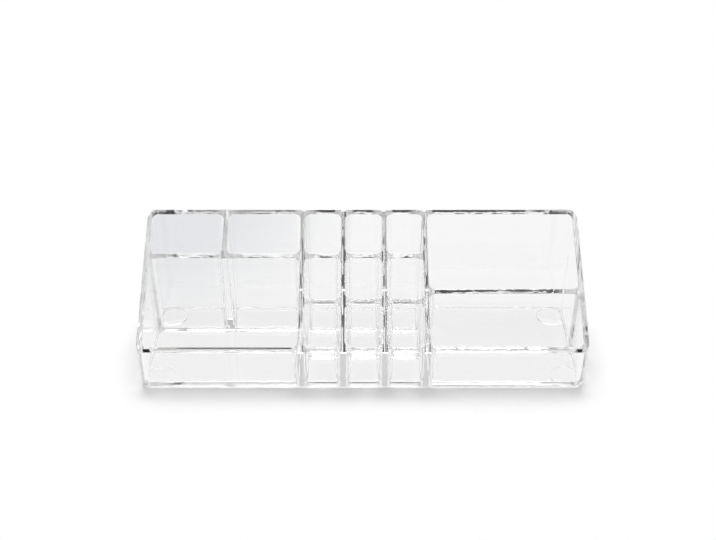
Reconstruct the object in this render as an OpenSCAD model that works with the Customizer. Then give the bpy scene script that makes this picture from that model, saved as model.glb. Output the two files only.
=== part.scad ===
// Clear vanity organizer: a drafted tray with a sloping rim, divided by upright walls into two bins,
// a long front tray, a block of lipstick cells and two wide trays. It stands on four round feet.
// X runs left to right, Y from the front wall to the back wall and Z up from the table.

/* [Overall size] */
// Width across the side walls, at the back rim
body_w = 305; // [270:1:380]
// Depth from the front wall to the back wall, at the rim
body_d = 95; // [90:1:130]
// Height of the back wall above the table
back_h = 86.5; // [60:0.5:120]
// Height of the front wall above the table
front_h = 32; // [20:0.5:55]

/* [Walls and floor] */
// Thickness of the outer walls at the rim
wall_t = 3.7; // [2.4:0.1:5]
// Thickness of the dividing walls at the height of the back rim
divider_t = 3.3; // [1.6:0.1:4]
// Thickness of the floor
floor_t = 3; // [2:0.1:5]
// Lean of every upright face away from the vertical, in degrees
draft = 0.2; // [0:0.05:1]

/* [Roundings] */
// Radius of the four outer corners, at the base
outer_r = 6.5; // [4:0.5:10]
// Radius of the upright corners inside each compartment, at the floor
corner_r = 4; // [2.5:0.5:6]
// Radius between the walls and the floor
floor_r = 2; // [1:0.25:2.5]
// Radius along the lower outer edge
base_r = 1.5; // [0.5:0.25:3]

/* [Compartments] */
// Spacing of the upright walls of the lipstick block, centre to centre
column_pitch = 28.7; // [24:0.1:32]
// Spacing of the rows of the lipstick block, counted from the back wall, centre to centre
row_pitch = 30.2; // [24:0.1:32]
// Shift of the lipstick block to the right of the middle
block_shift = 1; // [-10:0.5:10]
// Width of the left one of the two bins, at the back rim
bin_w = 50.5; // [30:0.5:65]
// Depth of the right back tray, at the back rim
right_back_d = 50.3; // [25:0.1:60]

/* [Feet] */
// Diameter of each foot
foot_d = 20; // [10:0.5:24]
// Height of each foot
foot_h = 1.2; // [0.8:0.1:3]
// Distance from the side of the base to the edge of a foot
foot_side = 2; // [1.5:0.5:20]
// Distance from the front or back of the base to the edge of a foot
foot_end = 3; // [1.5:0.5:20]

/* [Hidden] */

// Lipstick cells across and from back to front
columns = 3;
rows = 3;
// Height of the pads where one wall meets another, as a share of the cove radius there
pad_share = 0.32;
// Overrun of every cut past the face that it opens
over = 2;
// Softened lower edge of each foot
foot_edge = 0.3;
// Facets round a post, and degrees between two points of a rounded lower edge
post_fn = 32;
edge_step = 22.5;

slope = tan(draft);
rim_angle = atan((back_h - front_h) / body_d);
floor_z = foot_h + floor_t;
root_z = floor_z + floor_r;
top_z = back_h + over;

// Sides of the base and the middles of its corner posts
base_x = body_w / 2 - slope * (back_h - foot_h);
base_back = body_d / 2 - slope * (back_h - foot_h);
base_front = -body_d / 2 + slope * (front_h - foot_h);
post_x = base_x - outer_r;
post_back = base_back - outer_r;
post_front = base_front + outer_r;

// Inner faces of the outer walls, at the height of the back rim
in_x = body_w / 2 - wall_t;
in_back = body_d / 2 - wall_t;
in_front = -body_d / 2 + wall_t - slope * (back_h - front_h);

// Middles of the dividing walls
column_x = [for (k = [0 : columns]) block_shift + (k - columns / 2) * column_pitch];
row_y = [for (k = [1 : rows - 1]) body_d / 2 - wall_t / 2 - k * row_pitch];
cross_y = row_y[0];
bin_x = -in_x + bin_w + divider_t / 2;
right_y = in_back - right_back_d - divider_t / 2;

// Half a dividing wall at the back rim's height, and half of one at the floor with its pad
half_t = divider_t / 2;
pad_t = pad_share * corner_r;
half_pad = half_t + slope * (back_h - floor_z) + pad_t;

// Every compartment as [left, right, front, back], at the height of the back rim
bin_left = [-in_x, bin_x - half_t, cross_y + half_t, in_back];
bin_right = [bin_x + half_t, column_x[0] - half_t, cross_y + half_t, in_back];
front_tray = [-in_x, column_x[0] - half_t, in_front, cross_y - half_t];
right_back = [column_x[columns] + half_t, in_x, right_y + half_t, in_back];
right_front = [column_x[columns] + half_t, in_x, in_front, right_y - half_t];
row_front = [for (r = [0 : rows - 1]) r < rows - 1 ? row_y[r] + half_t : in_front];
row_back = [for (r = [0 : rows - 1]) r > 0 ? row_y[r - 1] - half_t : in_back];
function cell(c, r) = [column_x[c] + half_t, column_x[c + 1] - half_t, row_front[r], row_back[r]];
function cells_of(c) = [for (r = [0 : rows - 1]) cell(c, r)];
all_cells = [for (c = [0 : columns - 1], r = [0 : rows - 1]) cell(c, r)];

// Leaning round post with a rounded lower edge: the corner of every block and of every hollow
module post(radius, low, edge) {
    rise = top_z - low;
    edge_x = radius + slope * edge - edge;
    arc = [for (a = [0 : edge_step : 90]) [edge_x + edge * sin(a), edge - edge * cos(a)]];
    translate([0, 0, low])
        rotate_extrude($fn = post_fn)
            polygon(concat([[0, 0]], edge > 0 ? arc : [[radius, 0]], [[radius + slope * rise, rise], [0, rise]]));
}

// Drafted block with round corners, its sides given at the height of the back rim
module block(sides, low, edge) {
    inset = corner_r + slope * (back_h - low);
    hull()
        for (x = [sides[0] + inset, sides[1] - inset], y = [sides[2] + inset, sides[3] - inset])
            translate([x, y, 0])
                post(corner_r, low, edge);
}

// Space inside each of the given compartments, with its lower edge rounded or left sharp
module hollows(rooms, edge) {
    for (room = rooms)
        block(room, floor_z, edge);
}

// Everything above the sloping rim
module above_rim() {
    reach = body_w + body_d + back_h;
    translate([0, -body_d / 2, front_h])
        rotate([rim_angle, 0, 0])
            translate([-reach / 2, -reach / 2, 0])
                cube(reach);
}

// Outside of the tray, before the compartments are opened
module outer_block() {
    hull()
        for (x = [-post_x, post_x], y = [post_front, post_back])
            translate([x, y, 0])
                post(outer_r, foot_h, base_r);
}

// Space that the dividing walls fill, between the pads on the outer walls and above the floor's tracks
module wall_zone() {
    block([-in_x + pad_t, in_x - pad_t, in_front + pad_t, in_back - pad_t], root_z, edge = 0);
}

// Dividing wall: its strip of the wall zone, less the compartments beside it
module dividing_wall(x0, x1, y0, y1, rooms) {
    difference() {
        intersection() {
            wall_zone();
            translate([x0, y0, root_z - over])
                cube([x1 - x0, y1 - y0, top_z + over]);
        }
        hollows(rooms, edge = 0);
        above_rim();
    }
}

// Tray: floor, outer walls, and the coved tracks and pads on which the dividing walls stand
module outer_tray() {
    color([0.88, 0.93, 0.95])
        difference() {
            outer_block();
            hollows(concat([bin_left, bin_right, front_tray], all_cells, [right_back, right_front]), floor_r);
            wall_zone();
            above_rim();
        }
}

// Wall in front of the two bins
module bin_cross_wall() {
    color([0.74, 0.86, 0.90])
        dividing_wall(-in_x, column_x[0] - half_pad, cross_y - half_pad, cross_y + half_pad,
                      [bin_left, bin_right, front_tray]);
}

// Wall between the two bins
module bin_divider() {
    color([0.66, 0.80, 0.88])
        dividing_wall(bin_x - half_pad, bin_x + half_pad, cross_y + half_pad, in_back, [bin_left, bin_right]);
}

// Upright wall of the lipstick block, from the front wall to the back wall, with pads for the rows
module lipstick_wall(k) {
    left_rooms = k > 0 ? cells_of(k - 1) : [bin_right, front_tray];
    right_rooms = k < columns ? cells_of(k) : [right_back, right_front];
    color([0.80, 0.88, 0.80])
        dividing_wall(column_x[k] - half_pad, column_x[k] + half_pad, in_front, in_back,
                      concat(left_rooms, right_rooms));
}

// Row of short walls between the upright walls of the lipstick block
module lipstick_row(r) {
    color([0.90, 0.84, 0.74])
        for (c = [0 : columns - 1])
            dividing_wall(column_x[c] + half_pad, column_x[c + 1] - half_pad,
                          row_y[r] - half_pad, row_y[r] + half_pad, [cell(c, r), cell(c, r + 1)]);
}

// Wall between the two wide trays on the right
module right_divider() {
    color([0.86, 0.78, 0.88])
        dividing_wall(column_x[columns] + half_pad, in_x, right_y - half_pad, right_y + half_pad,
                      [right_back, right_front]);
}

// Round foot under one corner of the base
module foot(side, end) {
    foot_r = foot_d / 2;
    x = side * (base_x - foot_side - foot_r);
    y = end < 0 ? base_front + foot_end + foot_r : base_back - foot_end - foot_r;
    color([0.80, 0.84, 0.86])
        translate([x, y, 0])
            rotate_extrude($fn = 2 * post_fn)
                polygon([[0, 0], [foot_r - foot_edge, 0], [foot_r, foot_edge], [foot_r, foot_h], [0, foot_h]]);
}

outer_tray();
bin_cross_wall();
bin_divider();
lipstick_wall(0);  // lipstick_wall_1
lipstick_wall(1);  // lipstick_wall_2
lipstick_wall(2);  // lipstick_wall_3
lipstick_wall(3);  // lipstick_wall_4
lipstick_row(0);  // lipstick_row_back
lipstick_row(1);  // lipstick_row_front
right_divider();
foot(-1, -1);  // foot_front_left
foot(1, -1);  // foot_front_right
foot(-1, 1);  // foot_back_left
foot(1, 1);  // foot_back_right
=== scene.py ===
# %% [markdown]
# # A clear plastic vanity organizer
# The organizer is one of those water-clear trays that stand on a bathroom shelf: tall bins at the back, a
# long tray in front, a block of nine lipstick cells and two wide trays. Clear plastic has almost no
# colour of its own. What the eye reads as the object is light that bends at its round corners and runs
# along inside its walls, so the scene puts its effort into true wall thickness, true roundings and a
# clean, clear material.

import math

import bmesh
import bpy
from mathutils import Matrix, Vector
from mathutils.bvhtree import BVHTree
from mathutils.interpolate import poly_3d_calc


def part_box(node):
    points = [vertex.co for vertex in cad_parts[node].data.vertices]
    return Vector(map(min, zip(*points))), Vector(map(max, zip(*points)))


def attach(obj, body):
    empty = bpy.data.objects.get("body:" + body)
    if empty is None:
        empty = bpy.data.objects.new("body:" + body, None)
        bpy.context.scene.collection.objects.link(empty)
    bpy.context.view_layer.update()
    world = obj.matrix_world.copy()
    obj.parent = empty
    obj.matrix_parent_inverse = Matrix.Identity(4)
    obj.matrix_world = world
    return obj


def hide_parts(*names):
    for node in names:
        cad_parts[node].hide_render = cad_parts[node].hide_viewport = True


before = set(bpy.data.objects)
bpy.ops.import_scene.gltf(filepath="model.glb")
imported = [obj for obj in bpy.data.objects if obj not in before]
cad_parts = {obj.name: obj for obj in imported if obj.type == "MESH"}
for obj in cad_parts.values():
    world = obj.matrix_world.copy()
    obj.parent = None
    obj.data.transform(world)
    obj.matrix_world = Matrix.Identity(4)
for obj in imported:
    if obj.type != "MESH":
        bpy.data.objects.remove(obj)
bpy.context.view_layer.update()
print("solids:", ", ".join(sorted(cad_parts)))

# %% [markdown]
# ## Measures of the moulding
# The mould for such a tray is a block with fourteen cores standing in it. Every upright face leans a
# little, so that the tray slides off its cores, and the walls therefore grow thicker towards the floor.
# The lean also decides the look: with almost parallel faces, light that gets into a wall stays in it, and
# the rim above that wall turns dark. The places of the walls could be typed in too, but they are read
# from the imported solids, so that both models stay in step. Only the sizes that a solid's box can't tell
# are written here.

# %% Measures, in metres
MM = 0.001
BODY_W = 305 * MM
FRONT_H = 32 * MM
WALL_T = 3.7 * MM
DIVIDER_T = 3.3 * MM
FLOOR_T = 3.0 * MM
OUTER_R = 6.5 * MM
CORNER_R = 4.0 * MM
FLOOR_R = 2.0 * MM
BASE_R = 1.5 * MM
FOOT_H = 1.2 * MM
DRAFT_DEGREES = 0.2
SLOPE = math.tan(math.radians(DRAFT_DEGREES))
PAD_SHARE = 0.32
PAD_T = PAD_SHARE * CORNER_R
OVER = 2 * MM
X_AXIS, Y_AXIS = 0, 1


def middle(node, axis):
    """Middle of a solid's box along an axis."""
    low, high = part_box(node)
    return (low[axis] + high[axis]) / 2


tray_low, tray_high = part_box("outer_tray")
body_front, body_back, back_h = tray_low.y, tray_high.y, tray_high.z
floor_z = FOOT_H + FLOOR_T
root_z = floor_z + FLOOR_R
top_z = back_h + OVER
column_x = [middle("lipstick_wall_" + str(number), X_AXIS) for number in (1, 2, 3, 4)]
row_y = [middle("lipstick_row_back", Y_AXIS), middle("lipstick_row_front", Y_AXIS)]
bin_x = middle("bin_divider", X_AXIS)
right_y = middle("right_divider", Y_AXIS)
print("column middles, mm:", [round(x / MM, 2) for x in column_x])
print("row middles, mm:", [round(y / MM, 2) for y in row_y], "right divider", round(right_y / MM, 2))

# %% [markdown]
# ## Sides of the compartments
# Two bins, a long tray, nine lipstick cells and two wide trays make fourteen compartments. Each could be
# placed on its own, but neighbours share a wall, so all their sides are worked out from the middles of
# the walls. A compartment is written as left, right, front and back, at the height of the back rim, and
# the draft takes it from there down to the floor.

# %% Compartments
half_t = DIVIDER_T / 2
lean_back = SLOPE * (back_h - FRONT_H)
in_x = BODY_W / 2 - WALL_T
in_back = body_back - WALL_T
in_front = body_front + WALL_T - lean_back
block_left = column_x[0] - half_t
block_right = column_x[3] + half_t
rooms = [
    (-in_x, bin_x - half_t, row_y[0] + half_t, in_back),
    (bin_x + half_t, block_left, row_y[0] + half_t, in_back),
    (-in_x, block_left, in_front, row_y[0] - half_t),
    (block_right, in_x, right_y + half_t, in_back),
    (block_right, in_x, in_front, right_y - half_t),
]
rows = [
    (row_y[0] + half_t, in_back),
    (row_y[1] + half_t, row_y[0] - half_t),
    (in_front, row_y[1] - half_t),
]
columns = list(zip(column_x[:-1], column_x[1:]))
for left_x, right_x in columns:
    rooms += [(left_x + half_t, right_x - half_t, front, back) for front, back in rows]
print("compartments:", len(rooms))

# %% [markdown]
# ## A drafted block with round corners
# The outside of the tray and all the cores of the mould have one kind of form: leaning sides, round
# upright corners and a rounded lower edge. It could be a cube with bevels, bent into its draft
# afterwards. Here a flat face gets its four corners rounded, then is inset by the draft and pushed down
# at the same time, which makes the leaning sides in one step and keeps the corners true. A bevel on the
# lowest loop makes the cove of a compartment or the rounded base.

# %% Drafted block
CORNER_STEPS = 16
FLOOR_STEPS = 10
HALF_UNIT = 0.5


def drafted_block(sides, bottom, corner_r, edge_r):
    """Open block: its sides are given at the back rim's height, its corner radius at the bottom."""
    left, right, front, back = sides
    drop = top_z - bottom
    grow = SLOPE * OVER
    bm = bmesh.new()
    verts = bmesh.ops.create_grid(bm, x_segments=1, y_segments=1, size=HALF_UNIT)["verts"]
    bmesh.ops.scale(bm, vec=(right - left + 2 * grow, back - front + 2 * grow, 1), verts=verts)
    bmesh.ops.translate(bm, vec=((left + right) / 2, (front + back) / 2, top_z), verts=verts)
    bmesh.ops.bevel(bm, geom=verts, offset=corner_r + SLOPE * drop, offset_type="OFFSET",
                    segments=CORNER_STEPS, profile=0.5, affect="VERTICES", material=-1)
    bm.normal_update()
    for face in bm.faces:
        if face.normal.z < 0:
            face.normal_flip()
    lid = bm.faces[:]
    bmesh.ops.inset_region(bm, faces=lid, thickness=SLOPE * drop, depth=-drop, use_boundary=True,
                           use_even_offset=True, use_relative_offset=False)
    if edge_r > 0:
        bmesh.ops.bevel(bm, geom=list(lid[0].edges), offset=edge_r, offset_type="OFFSET",
                        segments=FLOOR_STEPS, profile=0.5, affect="EDGES", material=-1, clamp_overlap=True)
    return bm


print("points round a block's corners:", 4 * (CORNER_STEPS + 1))

# %% [markdown]
# ## The moulding in one piece
# The real tray comes out of its mould in one shot, as an outside with fourteen hollows under a sloping
# rim. Booleans could sink the hollows one by one. Here the outside and the fourteen cores are only cut
# off at the plane of the rim, and the ring between them is filled, which gives the same form with clean
# edges.

# %% Moulding with a sharp rim
CUT_TOLERANCE = 1e-7
rim_angle = math.atan2(back_h - FRONT_H, body_back - body_front)
rim_point = Vector((0, body_front, FRONT_H))
rim_normal = Vector((0, -math.sin(rim_angle), math.cos(rim_angle)))


def take_off(bm, point, normal):
    """Takes away what lies on the side of a plane that its normal points to, and leaves the cut open."""
    geometry = bm.verts[:] + bm.edges[:] + bm.faces[:]
    bmesh.ops.bisect_plane(bm, geom=geometry, dist=CUT_TOLERANCE, plane_co=point, plane_no=normal,
                           clear_outer=True)


def append_to(bm, part):
    """Adds one bmesh to another and frees it."""
    mesh = bpy.data.meshes.new("part")
    part.to_mesh(mesh)
    part.free()
    bm.from_mesh(mesh)
    bpy.data.meshes.remove(mesh)


moulding = bmesh.new()
outside = (-BODY_W / 2, BODY_W / 2, body_front - lean_back, body_back)
shells = [drafted_block(outside, FOOT_H, OUTER_R, BASE_R)]
shells += [drafted_block(sides, floor_z, CORNER_R, FLOOR_R) for sides in rooms]
for shell in shells:
    take_off(shell, rim_point, rim_normal)
    append_to(moulding, shell)
rim_loops = [edge for edge in moulding.edges if edge.is_boundary]
filled = bmesh.ops.triangle_fill(moulding, use_beauty=True, use_dissolve=False, edges=rim_loops,
                                 normal=rim_normal)
rim_faces = [item for item in filled["geom"] if isinstance(item, bmesh.types.BMFace)]
bmesh.ops.recalc_face_normals(moulding, faces=moulding.faces)
print("slope of the rim, degrees:", round(math.degrees(rim_angle), 1), "rim faces", len(rim_faces))

# %% [markdown]
# ## Edges of the rim
# The rim of a moulded tray is never knife-sharp. The crests of the walls that run from front to back are
# rounded the most, which leaves a narrow dark line between two light ones, and all other rims keep a
# flat, even band. Each kind could be bevelled by itself, but they meet at every crossing. So an inset
# first gives the rim a border, and each rim edge gets a weight from which one Bevel modifier later makes
# roundings of different sizes that run into each other.

# %% Weights of the rim's edges
RIM_R = 0.4 * MM
CREST_R = 0.8 * MM
RIM_BORDER = 1.3 * CREST_R
RIM_TURN = math.radians(40)
RIM_TOLERANCE = 1e-6
SIDE_REACH = 1.5 * CORNER_R

bmesh.ops.inset_region(moulding, faces=rim_faces, thickness=RIM_BORDER, depth=0, use_boundary=True,
                       use_even_offset=True, use_relative_offset=False)
weight = moulding.edges.layers.float.new("bevel_weight_edge")
rim_edges = [edge for edge in moulding.edges if edge.calc_face_angle(0) > RIM_TURN
             and all(abs((vert.co - rim_point).dot(rim_normal)) < RIM_TOLERANCE for vert in edge.verts)]
for edge in rim_edges:
    start, end = (vert.co for vert in edge.verts)
    on_divider = abs(start.x + end.x) / 2 < in_x - SIDE_REACH
    crest_share = 1 - abs((end - start).normalized().x) if on_divider else 0
    edge[weight] = (RIM_R + (CREST_R - RIM_R) * crest_share) / CREST_R
print("rim edges:", len(rim_edges), "faces", len(moulding.faces))

# %% [markdown]
# ## Node helpers
# A material in Blender is a small graph: textures work out numbers for a place on the surface, and the
# shader turns them into light. Such a graph can be drawn by hand in the editor. In code, one small
# function that adds a node with its settings and links keeps each material short. Colours are written as
# the hex values of a paint chart. The shader works in linear light, so one function converts them.

# %% Node helpers


def linear(hex_colour):
    """Linear RGBA from an sRGB hex value, by the sRGB curve."""
    parts = [int(hex_colour[i:i + 2], 16) / 255 for i in (0, 2, 4)]
    return [part / 12.92 if part <= 0.04045 else ((part + 0.055) / 1.055) ** 2.4 for part in parts] + [1.0]


def add_node(tree, kind, settings=None, inputs=None, links=None):
    """Adds a node, sets its properties and sockets, and links its sockets to the outputs given."""
    node = tree.nodes.new(kind)
    for name, value in (settings or {}).items():
        setattr(node, name, value)
    for name, value in (inputs or {}).items():
        node.inputs[name].default_value = value
    for name, socket in (links or {}).items():
        tree.links.new(socket, node.inputs[name])
    return node


def new_material(name):
    """Empty node material with its output node."""
    material = bpy.data.materials.new(name)
    material.use_nodes = True
    tree = material.node_tree
    tree.nodes.clear()
    return material, tree, tree.nodes.new("ShaderNodeOutputMaterial")


WHITE = linear("ffffff")
print("white, linear:", [round(part, 3) for part in WHITE])

# %% [markdown]
# ## Clear plastic
# Crystal polystyrene straight from a polished mould is as clear as glass and bends light a little more
# than acrylic does: its index is 1.57 to 1.59. A mix of transparent and glossy shaders could stand for
# it, but then nothing would bend. Full transmission in one shader bends light as the plastic does, and a
# perfect surface would look like computer glass. The real one is smooth to the touch and still not flat.
# The melt leaves faint waves a centimetre or two long, which break the lines at the corners into lighter
# and darker lengths, and handling leaves a breath of haze. Both are noise on the object's own
# coordinates, with a scale worked out from a length in millimetres.

# %% Clear plastic
WATER_CLEAR = linear("fefefe")
POLYSTYRENE_IOR = 1.57
FLOW_WAVE = 16 * MM
FLOW_DEPTH = 0.02 * MM
HAZE_PATCH = 30 * MM
HAZE_NOISE = (0.4, 0.7)
HAZE_ROUGHNESS = (0.0, 0.02)


def clear_polystyrene():
    """Polished polystyrene moulding: the eye gets panes without a tint and lively lines at the corners."""
    material, tree, output = new_material("polished_clear_polystyrene")
    place = add_node(tree, "ShaderNodeTexCoord").outputs["Object"]
    flow = add_node(tree, "ShaderNodeTexNoise", inputs={"Scale": 1 / FLOW_WAVE, "Detail": 3.0},
                    links={"Vector": place})
    waves = add_node(tree, "ShaderNodeBump", inputs={"Strength": 1.0, "Distance": FLOW_DEPTH},
                     links={"Height": flow.outputs["Fac"]})
    haze = add_node(tree, "ShaderNodeTexNoise", inputs={"Scale": 1 / HAZE_PATCH, "Detail": 3.0},
                    links={"Vector": place})
    clean, handled = HAZE_NOISE
    least, most = HAZE_ROUGHNESS
    polish = add_node(tree, "ShaderNodeMapRange",
                      inputs={"From Min": clean, "From Max": handled, "To Min": least, "To Max": most},
                      links={"Value": haze.outputs["Fac"]})
    shader = add_node(tree, "ShaderNodeBsdfPrincipled",
                      inputs={"Base Color": WATER_CLEAR, "IOR": POLYSTYRENE_IOR, "Transmission Weight": 1.0},
                      links={"Roughness": polish.outputs["Result"], "Normal": waves.outputs["Normal"]})
    tree.links.new(shader.outputs["BSDF"], output.inputs["Surface"])
    return material


def bonded_joint():
    """Face bonded with solvent: the eye gets nothing, because light goes straight through."""
    material, tree, output = new_material("solvent_bonded_joint")
    shader = add_node(tree, "ShaderNodeBsdfTransparent", inputs={"Color": WHITE})
    tree.links.new(shader.outputs["BSDF"], output.inputs["Surface"])
    return material


plastic, joint = clear_polystyrene(), bonded_joint()
print("materials:", plastic.name, joint.name)

# %% [markdown]
# ## Tools that take the moulding apart
# On a bench the organizer is a tray, nine sets of walls and four feet, bonded face to face. Each could be
# modelled alone, but clear plastic shows every step between two surfaces that should run on. So the whole
# moulding is made first and then cut where the solids are. Each piece gets closed faces there, and they
# carry the joint's material, so that light passes as it does through a good solvent bond.

# %% Splitting tools
JOINT_SLOT = 1


def new_object(name, bm, materials):
    """Mesh object at the origin from a bmesh."""
    mesh = bpy.data.meshes.new(name)
    bm.to_mesh(mesh)
    bm.free()
    for material in materials:
        mesh.materials.append(material)
    piece = bpy.data.objects.new(name, mesh)
    bpy.context.scene.collection.objects.link(piece)
    return piece


def evaluated_mesh(piece):
    """Copy of a piece's mesh with its modifiers applied."""
    depsgraph = bpy.context.evaluated_depsgraph_get()
    return bpy.data.meshes.new_from_object(piece.evaluated_get(depsgraph), depsgraph=depsgraph)


def combined(piece, block, operation):
    """Bmesh of a piece after a boolean with a block, whose material marks the new faces."""
    modifier = piece.modifiers.new("part", "BOOLEAN")
    modifier.operation, modifier.object, modifier.solver = operation, block, "EXACT"
    modifier.material_mode = "TRANSFER"
    mesh = evaluated_mesh(piece)
    piece.modifiers.remove(modifier)
    bm = bmesh.new()
    bm.from_mesh(mesh)
    bpy.data.meshes.remove(mesh)
    return bm


def drop_object(piece):
    """Deletes a helper object and its mesh."""
    mesh = piece.data
    bpy.data.objects.remove(piece)
    bpy.data.meshes.remove(mesh)


whole = new_object("whole_moulding", moulding, [plastic, joint])
print("whole moulding, faces:", len(whole.data.polygons))

# %% [markdown]
# ## Round rims and flat panes
# One Bevel modifier now rounds the rim by the weights of its edges. Smooth shading alone would then bend
# the light in the panes next to a rounding, which shows at once in clear plastic. A Weighted Normal
# modifier keeps large faces flat and leaves the bending to the small ones. Its normals are kept in a
# search tree, so that every piece cut from the moulding can take them over.

# %% Rounded and smoothed moulding
RIM_STEPS = 5
SMOOTH_ANGLE = math.radians(30)
LARGE_FACES_ONLY = 100

rounding = whole.modifiers.new("rounded rims", "BEVEL")
rounding.limit_method, rounding.offset_type = "WEIGHT", "OFFSET"
rounding.width, rounding.segments, rounding.profile = CREST_R, RIM_STEPS, 0.5
sharp_rim, whole.data = whole.data, evaluated_mesh(whole)
whole.modifiers.remove(rounding)
bpy.data.meshes.remove(sharp_rim)
print("moulding with rounded rims, faces:", len(whole.data.polygons))
whole.data.shade_smooth()
whole.data.set_sharp_from_angle(angle=SMOOTH_ANGLE)
flat_panes = whole.modifiers.new("flat panes", "WEIGHTED_NORMAL")
flat_panes.keep_sharp = True
flat_panes.weight = LARGE_FACES_ONLY
smooth = evaluated_mesh(whole)
whole.modifiers.remove(flat_panes)
smooth_corners = [corner.vector.copy() for corner in smooth.corner_normals]
smooth_tree = BVHTree.FromPolygons([vert.co for vert in smooth.vertices],
                                   [tuple(face.vertices) for face in smooth.polygons])
print("corners with a normal:", len(smooth_corners))

# %% [markdown]
# ## Finish of a piece
# Where two pieces meet on a round corner, the light must not tell. Blender could work out each piece's
# normals afresh, but at a cut edge they would differ from the neighbour's. So each corner of a piece
# takes its normal from the nearest face of the whole moulding, blended between that face's own corners.

# %% Finished piece
SAME_PLACE = 1e-8


def finished(name, bm):
    """Piece with the moulding's own surface normals, so that no joint line shows on a round corner."""
    bmesh.ops.remove_doubles(bm, verts=bm.verts, dist=SAME_PLACE)
    bmesh.ops.triangulate(bm, faces=bm.faces)
    open_edges = sum(not edge.is_manifold for edge in bm.edges)
    piece = new_object(name, bm, [plastic, joint])
    mesh = piece.data
    mesh.shade_smooth()
    normals = [None] * len(mesh.loops)
    for face in mesh.polygons:
        parent = smooth.polygons[smooth_tree.find_nearest(face.center)[2]]
        corners = [smooth.vertices[index].co for index in parent.vertices]
        for loop_index in face.loop_indices:
            if face.material_index == JOINT_SLOT:
                normals[loop_index] = face.normal
                continue
            shares = poly_3d_calc(corners, mesh.vertices[mesh.loops[loop_index].vertex_index].co)
            parts = (share * smooth_corners[index] for share, index in zip(shares, parent.loop_indices))
            normals[loop_index] = sum(parts, Vector()).normalized()
    mesh.normals_split_custom_set(normals)
    print(name, "faces", len(mesh.polygons), "open edges", open_edges)
    return piece


# %% [markdown]
# ## Wall zone
# The dividing walls stand on low tracks of the floor and meet pads on the outer walls. One block of space
# inside those pads and above the tracks therefore holds all the walls and nothing of the tray. It is made
# like a core of the mould and lies a hair above the tops of the coves, so that no two faces coincide.

# %% Walls in one piece
ZONE_LIFT = 0.02 * MM

zone_bm = drafted_block((-in_x + PAD_T, in_x - PAD_T, in_front + PAD_T, in_back - PAD_T),
                        root_z + ZONE_LIFT, CORNER_R, 0)
bmesh.ops.holes_fill(zone_bm, edges=[edge for edge in zone_bm.edges if edge.is_boundary])
bmesh.ops.recalc_face_normals(zone_bm, faces=zone_bm.faces)
zone = new_object("wall_zone", zone_bm, [joint])
all_walls = combined(whole, zone, "INTERSECT")
print("walls in one, faces:", len(all_walls.faces))

# %% [markdown]
# ## Dividing walls
# Nine sets of walls stand between the compartments: one across the left section, one between the bins,
# four along the lipstick block, two rows of short ones between those, and one on the right. Upright
# planes cut them out of the walls in one. A cut could be another boolean, but a plane is quicker, and its
# open end is simply filled with a joint face.

# %% Dividing walls
FAR = 1.0
half_pad = half_t + SLOPE * (back_h - floor_z) + PAD_T


def wall_part(x0, x1, y0, y1):
    """Bmesh of the walls between two upright planes in X and two in Y, with joint faces on the cuts."""
    bm = all_walls.copy()
    for point, normal in (((x0, 0, 0), (-1, 0, 0)), ((x1, 0, 0), (1, 0, 0)),
                          ((0, y0, 0), (0, -1, 0)), ((0, y1, 0), (0, 1, 0))):
        take_off(bm, point, normal)
        ends = bmesh.ops.holes_fill(bm, edges=[edge for edge in bm.edges if edge.is_boundary])["faces"]
        for face in ends:
            face.material_index = JOINT_SLOT
    bmesh.ops.recalc_face_normals(bm, faces=bm.faces)
    return bm


cross_front, cross_back = row_y[0] - half_pad, row_y[0] + half_pad
walls = {}
walls["bin_cross_wall"] = wall_part(-FAR, column_x[0] - half_pad, cross_front, cross_back)
walls["bin_divider"] = wall_part(bin_x - half_pad, bin_x + half_pad, cross_back, FAR)
walls["right_divider"] = wall_part(column_x[3] + half_pad, FAR, right_y - half_pad, right_y + half_pad)
for number, x in enumerate(column_x):
    walls["lipstick_wall_" + str(number + 1)] = wall_part(x - half_pad, x + half_pad, -FAR, FAR)
for name, y in (("lipstick_row_back", row_y[0]), ("lipstick_row_front", row_y[1])):
    walls[name] = bmesh.new()
    for left_x, right_x in columns:
        append_to(walls[name], wall_part(left_x + half_pad, right_x - half_pad, y - half_pad, y + half_pad))
all_walls.free()
for name, bm in walls.items():
    piece = finished("clear_" + name, bm)
    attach(piece, "root")
    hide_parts(name)

# %% [markdown]
# ## Soft plastic of the feet
# The tray stands on four feet of the kind that is cast in drops of soft PVC. They are as clear as the
# tray, and their skin is a little less even than the moulding's. The tray's own material would do from
# afar. A second one with fine dimples and a duller skin keeps the feet from looking like a part of the
# moulding.

# %% Soft plastic of the feet
PVC_IOR = 1.54
CAST_WAVE = 3 * MM
CAST_DEPTH = 0.01 * MM
CAST_ROUGHNESS = (0.02, 0.08)


def soft_foot():
    """Soft clear PVC, cast in drops: as clear as the tray, with a skin that is a touch duller."""
    material, tree, output = new_material("cast_clear_pvc")
    place = add_node(tree, "ShaderNodeTexCoord").outputs["Object"]
    skin = add_node(tree, "ShaderNodeTexNoise", inputs={"Scale": 1 / CAST_WAVE, "Detail": 2.0},
                    links={"Vector": place})
    dimples = add_node(tree, "ShaderNodeBump", inputs={"Strength": 1.0, "Distance": CAST_DEPTH},
                       links={"Height": skin.outputs["Fac"]})
    least, most = CAST_ROUGHNESS
    dull = add_node(tree, "ShaderNodeMapRange", inputs={"To Min": least, "To Max": most},
                    links={"Value": skin.outputs["Fac"]})
    shader = add_node(tree, "ShaderNodeBsdfPrincipled",
                      inputs={"Base Color": WATER_CLEAR, "IOR": PVC_IOR, "Transmission Weight": 1.0},
                      links={"Roughness": dull.outputs["Result"], "Normal": dimples.outputs["Normal"]})
    tree.links.new(shader.outputs["BSDF"], output.inputs["Surface"])
    return material


foot_plastic = soft_foot()
print("material:", foot_plastic.name)

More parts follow.
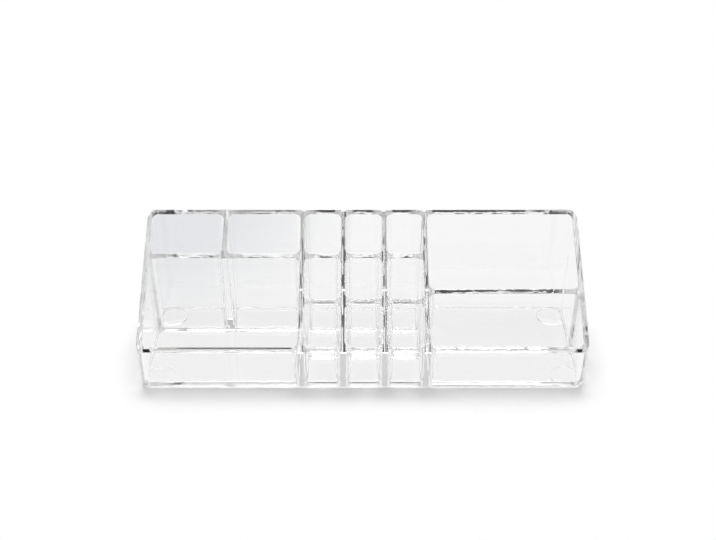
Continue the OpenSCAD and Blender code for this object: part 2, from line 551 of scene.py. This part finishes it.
# %% [markdown]
# ## Feet
# The feet are clear discs, bonded to the underside, so all that shows of them is the fine bright and dark
# line of their round edge. A cylinder with a Bevel modifier would do too. Here a circle is extruded and
# only its lower edge is bevelled, and the same function makes the shallow seat that the tray needs for
# each foot.

# %% Feet
FOOT_EDGE = 0.3 * MM
FOOT_EDGE_STEPS = 4
FOOT_SEGMENTS = 96
SEAT = 0.02 * MM
FACE_TOLERANCE = 1e-6


def disc(x, y, radius, bottom, top, edge_r):
    """Bmesh of an upright disc with a rounded lower edge and a joint face on top."""
    bm = bmesh.new()
    bmesh.ops.create_circle(bm, cap_ends=True, segments=FOOT_SEGMENTS, radius=radius,
                            matrix=Matrix.Translation((x, y, bottom)))
    raised = bmesh.ops.extrude_face_region(bm, geom=bm.faces[:])["geom"]
    upper = [item for item in raised if isinstance(item, bmesh.types.BMVert)]
    bmesh.ops.translate(bm, vec=(0, 0, top - bottom), verts=upper)
    bmesh.ops.recalc_face_normals(bm, faces=bm.faces)
    if edge_r > 0:
        lower = [edge for edge in bm.edges
                 if all(vert.co.z < bottom + FACE_TOLERANCE for vert in edge.verts)]
        bmesh.ops.bevel(bm, geom=lower, offset=edge_r, offset_type="OFFSET", segments=FOOT_EDGE_STEPS,
                        profile=0.5, affect="EDGES", material=-1)
    for face in bm.faces:
        if face.calc_center_median().z > top - FACE_TOLERANCE:
            face.material_index = JOINT_SLOT
    return bm


seats = bmesh.new()
for node in ("foot_front_left", "foot_front_right", "foot_back_left", "foot_back_right"):
    foot_low, foot_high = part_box(node)
    place = ((foot_low.x + foot_high.x) / 2, (foot_low.y + foot_high.y) / 2, (foot_high.x - foot_low.x) / 2)
    append_to(seats, disc(*place, -FOOT_H, FOOT_H + SEAT, 0))
    foot = new_object("clear_" + node, disc(*place, 0, FOOT_H + SEAT, FOOT_EDGE), [foot_plastic, joint])
    foot.data.shade_smooth()
    foot.data.set_sharp_from_angle(angle=SMOOTH_ANGLE)
    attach(foot, "root")
    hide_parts(node)
    print(foot.name, "faces", len(foot.data.polygons))
seat_blocks = new_object("foot_seats", seats, [joint, joint])

# %% [markdown]
# ## Tray
# What the wall zone leaves of the moulding is the tray: floor, outer walls, coves and the low tracks of
# the dividing walls. Foot and tray could simply touch, but a film of air between two clear faces shows as
# a silver disc. So shallow seats are cut for the feet, and foot and tray share one joint face.

# %% Tray
opened = new_object("opened", combined(whole, zone, "DIFFERENCE"), [plastic, joint])
tray = finished("clear_outer_tray", combined(opened, seat_blocks, "DIFFERENCE"))
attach(tray, "root")
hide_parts("outer_tray")
for helper in (opened, seat_blocks, zone, whole):
    drop_object(helper)

# %% [markdown]
# ## White paper
# The organizer stands on white paper that runs on behind it. The paper is plain and dull, so a diffuse
# shader does the work. A relief keeps it from looking like plastic at close range. Its fibres are drawn
# much coarser than real ones, at 0.8 mm, so that they can show at all.
#
# In the photograph the paper round the tray was whitened afterwards, and only inside the clear tray does
# it still show how it was lit: a very light grey that turns darker and cooler towards the back left. Here
# that is painted light and shade: the paper glows with that grey, with painted shade darker and cooler
# towards the back left, and it is no colour of the paper itself. A second sheet with that glow could lie
# under the tray, but it would show at the edges. The Light Path node tells the two looks apart instead. A
# ray straight from the camera meets the white paper with the tray's shadow on it, and a ray that has come
# through the tray or off its skin meets the painted glow.
#
# The whitening also made the shadow steeper: it is deep at the foot of the walls, and almost nothing is
# left of it a few centimetres away. So a shadow is painted into the paper's colour: the Ambient Occlusion
# node measures how much of the near room is open above a spot, and the colour of the paper follows it,
# darker where the tray closes the room off. This painted shadow lies on top of the real one.

# %% White paper
FIBRE = 0.8 * MM
FIBRE_DEPTH = 0.01 * MM
FIBRE_STRENGTH = 0.1
# Painted shadow: how far the ambient occlusion looks, and how dark it paints the paper's colour.
PAINTED_SHADOW_REACH = 35 * MM
PAINTED_SHADOW_SAMPLES = 8
PAINTED_SHADOW_OPEN = (0.4, 0.98)
PAINTED_SHADOW_DEPTH = 0.76
# Painted shade: the glow seen through the tray turns darker and cooler towards this corner.
PAINTED_SHADE_CORNER = (-200 * MM, 200 * MM, 0)
PAINTED_SHADE_REACH = (70 * MM, 210 * MM)
PAINTED_SHADE_AT_CORNER = linear("e3e5e8")
PAINTED_LIGHT_AWAY = linear("f8f8f8")


def shadowed_paper(tree, place):
    """Dull whitened paper with a relief, and a painted shadow darker where the tray closes off the room."""
    fibres = add_node(tree, "ShaderNodeTexNoise", inputs={"Scale": 1 / FIBRE, "Detail": 2.0},
                      links={"Vector": place})
    relief = add_node(tree, "ShaderNodeBump", inputs={"Strength": FIBRE_STRENGTH, "Distance": FIBRE_DEPTH},
                      links={"Height": fibres.outputs["Fac"]})
    # Painted shadow: the paper's colour follows ambient occlusion, darker where the tray closes off the
    # room.
    painted_shadow_ao = add_node(tree, "ShaderNodeAmbientOcclusion", settings={"samples": PAINTED_SHADOW_SAMPLES},
                        inputs={"Distance": PAINTED_SHADOW_REACH})
    closed, clear = PAINTED_SHADOW_OPEN
    shadow = add_node(tree, "ShaderNodeMapRange", settings={"interpolation_type": "SMOOTHSTEP"},
                      inputs={"From Min": closed, "From Max": clear, "To Min": PAINTED_SHADOW_DEPTH, "To Max": 1.0},
                      links={"Value": painted_shadow_ao.outputs["AO"]})
    paper = add_node(tree, "ShaderNodeBsdfDiffuse",
                     links={"Color": shadow.outputs["Result"], "Normal": relief.outputs["Normal"]})
    return paper.outputs["BSDF"]


def own_tone(tree, place):
    """Painted glow of the paper: a light grey, with painted shade darker and cooler towards the back left.
    """
    away = add_node(tree, "ShaderNodeVectorMath", settings={"operation": "DISTANCE"},
                    inputs={1: PAINTED_SHADE_CORNER}, links={0: place})
    near, far = PAINTED_SHADE_REACH
    reach = add_node(tree, "ShaderNodeMapRange", settings={"interpolation_type": "SMOOTHSTEP"},
                     inputs={"From Min": near, "From Max": far}, links={"Value": away.outputs["Value"]})
    tone = add_node(tree, "ShaderNodeMix", settings={"data_type": "RGBA"},
                    inputs={6: PAINTED_SHADE_AT_CORNER, 7: PAINTED_LIGHT_AWAY}, links={0: reach.outputs["Result"]})
    # Painted light: the paper glows with this grey instead of being lit.
    painted_glow = add_node(tree, "ShaderNodeEmission", inputs={"Strength": 1.0}, links={"Color": tone.outputs[2]})
    return painted_glow.outputs["Emission"]


def white_paper():
    """Uncoated paper: even white with no gloss, real and painted shadow, and a painted glow through the
    tray.
    """
    material, tree, output = new_material("uncoated_white_paper")
    place = add_node(tree, "ShaderNodeTexCoord").outputs["Object"]
    path = add_node(tree, "ShaderNodeLightPath")
    # Rays through the tray or off its skin meet the painted glow instead of the lit paper.
    by_the_tray = add_node(tree, "ShaderNodeMath", settings={"operation": "MAXIMUM"},
                           links={0: path.outputs["Is Transmission Ray"], 1: path.outputs["Is Glossy Ray"]})
    look = add_node(tree, "ShaderNodeMixShader",
                    links={0: by_the_tray.outputs["Value"], 1: shadowed_paper(tree, place),
                           2: own_tone(tree, place)})
    tree.links.new(look.outputs["Shader"], output.inputs["Surface"])
    return material


paper_white = white_paper()
print("material:", paper_white.name)

# %% [markdown]
# ## Floor
# A backdrop could be a curved sheet, but from this height the camera never sees its far end. One large
# flat face is enough. It lies a hair below the feet, so that the two faces don't fight for the same
# place.

# %% Floor
FLOOR_HALF = 4.0
FLOOR_GAP = 0.05 * MM

floor_bm = bmesh.new()
bmesh.ops.create_grid(floor_bm, x_segments=1, y_segments=1, size=FLOOR_HALF,
                      matrix=Matrix.Translation((0, 0, -FLOOR_GAP)))
floor = new_object("floor", floor_bm, [paper_white])
print("floor, m:", tuple(round(size, 2) for size in floor.dimensions))

# %% [markdown]
# ## Room round the tray
# Clear plastic shows the room rather than itself, so in a product picture its edges are drawn with the
# room: a broad soft light overhead and a little behind, light walls low all round, and dark cards at the
# heights from which a rim or a wall's corner takes its light. Lamps and cards could be set up one by one.
# Here the whole room is a world, because a reflection only asks how bright its direction is.
#
# Five ramps give the brightness over the height of a direction. Four are for left, right, behind the tray
# and the camera's side. A wall that is looked at along its length sends light back to where it comes
# from, so its core shows what stands at the camera: the fifth ramp is the dark camera stand, narrow and
# as high as the camera. The room as a whole lights a white paper to plain white, so colours render as
# they are written.

# %% Brightness of the room
SKY_PEAK = 10.0
ROOM = {
    "left": [(0, 1.0), (9, 1.0), (12, 0.7), (30, 0.6), (45, 0.5), (52, 0.15), (75, 0.15), (84, 1.4),
             (90, 1.6)],
    "right": [(0, 1.0), (9, 1.0), (12, 0.7), (24, 0.6), (30, 0.4), (45, 0.3), (52, 0.15), (75, 0.15),
              (79, 2.6), (90, 1.8)],
    "behind": [(0, 1.0), (9, 1.0), (12, 1.5), (24, 1.5), (26, 0.05), (33, 0.05), (36, 0.4), (38, 0.62),
               (41, 0.62), (43, 0.4), (57, 0.4), (66, 9.4), (82, 9.4), (90, 1.6)],
    "camera side": [(0, 1.0), (8, 1.0), (11, 0.1), (26, 0.1), (29, 1.6), (41, 1.6), (44, 0.1), (75, 0.15),
                    (84, 1.4), (90, 1.6)],
    "camera stand": [(0, 1.0), (8, 1.0), (11, 0.5), (29, 0.5), (32, 0.02), (41, 0.02), (46, 0.5), (75, 0.3),
                     (84, 1.4), (90, 1.6)],
}
print("ramps of the room:", ", ".join(ROOM))

# %% [markdown]
# ## World
# The world gets its direction from Texture Coordinate. Its Z is the sine of the height, which every ramp
# reads. Laid flat and made one long, the direction gives the heading. The ramps are laid over each other
# by the heading, from the left side on, and each takes over softly between two values of its X or Y.

# %% World
TAKES_OVER = {
    "right": ("X", -0.5, 0.5),
    "behind": ("Y", 0.5, 0.85),
    "camera side": ("Y", -0.5, -0.85),
    "camera stand": ("Y", -0.9, -0.98),
}

world = bpy.data.worlds.new("studio")
bpy.context.scene.world = world
world.use_nodes = True
sky_tree = world.node_tree
sky_tree.nodes.clear()
direction = add_node(sky_tree, "ShaderNodeTexCoord").outputs["Generated"]
height = add_node(sky_tree, "ShaderNodeSeparateXYZ", links={"Vector": direction}).outputs["Z"]
level = add_node(sky_tree, "ShaderNodeVectorMath", settings={"operation": "MULTIPLY"},
                 inputs={1: (1, 1, 0)}, links={0: direction})
compass = add_node(sky_tree, "ShaderNodeVectorMath", settings={"operation": "NORMALIZE"},
                   links={0: level.outputs[0]})
heading = add_node(sky_tree, "ShaderNodeSeparateXYZ", links={"Vector": compass.outputs[0]})


def brightness(steps):
    """Ramp over the height of a direction, from (degrees above the floor, brightness) steps."""
    ramp = add_node(sky_tree, "ShaderNodeValToRGB", links={"Fac": height})
    elements = ramp.color_ramp.elements
    while len(elements) > 1:
        elements.remove(elements[0])
    for number, (degrees, value) in enumerate(steps):
        position = math.sin(math.radians(degrees))
        element = elements[0] if number == 0 else elements.new(position)
        element.position = position
        element.color = [value / SKY_PEAK] * 3 + [1]
    return ramp.outputs["Color"]


shade = brightness(ROOM["left"])
for side, (axis, start, end) in TAKES_OVER.items():
    share = add_node(sky_tree, "ShaderNodeMapRange", settings={"interpolation_type": "SMOOTHSTEP"},
                     inputs={"From Min": start, "From Max": end}, links={"Value": heading.outputs[axis]})
    blend = add_node(sky_tree, "ShaderNodeMix", settings={"data_type": "RGBA"},
                     links={0: share.outputs["Result"], 6: shade, 7: brightness(ROOM[side])})
    shade = blend.outputs[2]
sky = add_node(sky_tree, "ShaderNodeBackground", inputs={"Strength": SKY_PEAK}, links={"Color": shade})
add_node(sky_tree, "ShaderNodeOutputWorld", links={"Surface": sky.outputs["Background"]})
print("world nodes:", len(sky_tree.nodes))

# %% [markdown]
# ## Camera
# The photograph looks down on the tray by about 36 degrees, from straight in front and from close enough
# for the side walls to lean inwards. A longer lens from further away would frame the tray as well, but it
# would lose that lean. So distance and lens come from the lean, and a small shift frames the tray as the
# photograph does.

# %% Camera
PHOTO_WIDTH_PIXELS = 716
SHIFT_UP_PIXELS = 28.06
LENS_MM = 52.93
SENSOR_WIDTH_MM = 36
LOOK_DOWN_DEGREES = 35.7
CAMERA_PLACE = (-3.1 * MM, -597.6 * MM, 472.4 * MM)

camera = bpy.data.cameras.new("camera")
camera.lens = LENS_MM
camera.sensor_width = SENSOR_WIDTH_MM
camera.shift_y = SHIFT_UP_PIXELS / PHOTO_WIDTH_PIXELS
view = bpy.data.objects.new("camera", camera)
view.location = CAMERA_PLACE
view.rotation_euler = (math.radians(90 - LOOK_DOWN_DEGREES), 0, 0)
bpy.context.scene.collection.objects.link(view)
bpy.context.scene.camera = view
print("camera height above the floor, mm:", round(view.location.z / MM, 1))

# %% [markdown]
# ## Colours and bounces
# The Standard view shows colours as they are written. Light crosses many walls here, so it is given many
# bounces. What is still caught in a wall after 35 of them is dropped. More bounces would let it out again
# and turn the rims bright. The real plastic soaks it up on its long way, so dropping it gives the rims
# their dark lengths.

# %% Picture settings
SURFACES = 35
PAPER_BOUNCES = 16
JOINT_CROSSINGS = 64

scene = bpy.context.scene
scene.view_settings.view_transform = "Standard"
cycles = scene.cycles
cycles.max_bounces = cycles.transmission_bounces = cycles.glossy_bounces = SURFACES
cycles.diffuse_bounces = PAPER_BOUNCES
cycles.transparent_max_bounces = JOINT_CROSSINGS
cycles.blur_glossy = 0.0
print("light bounces:", cycles.max_bounces)
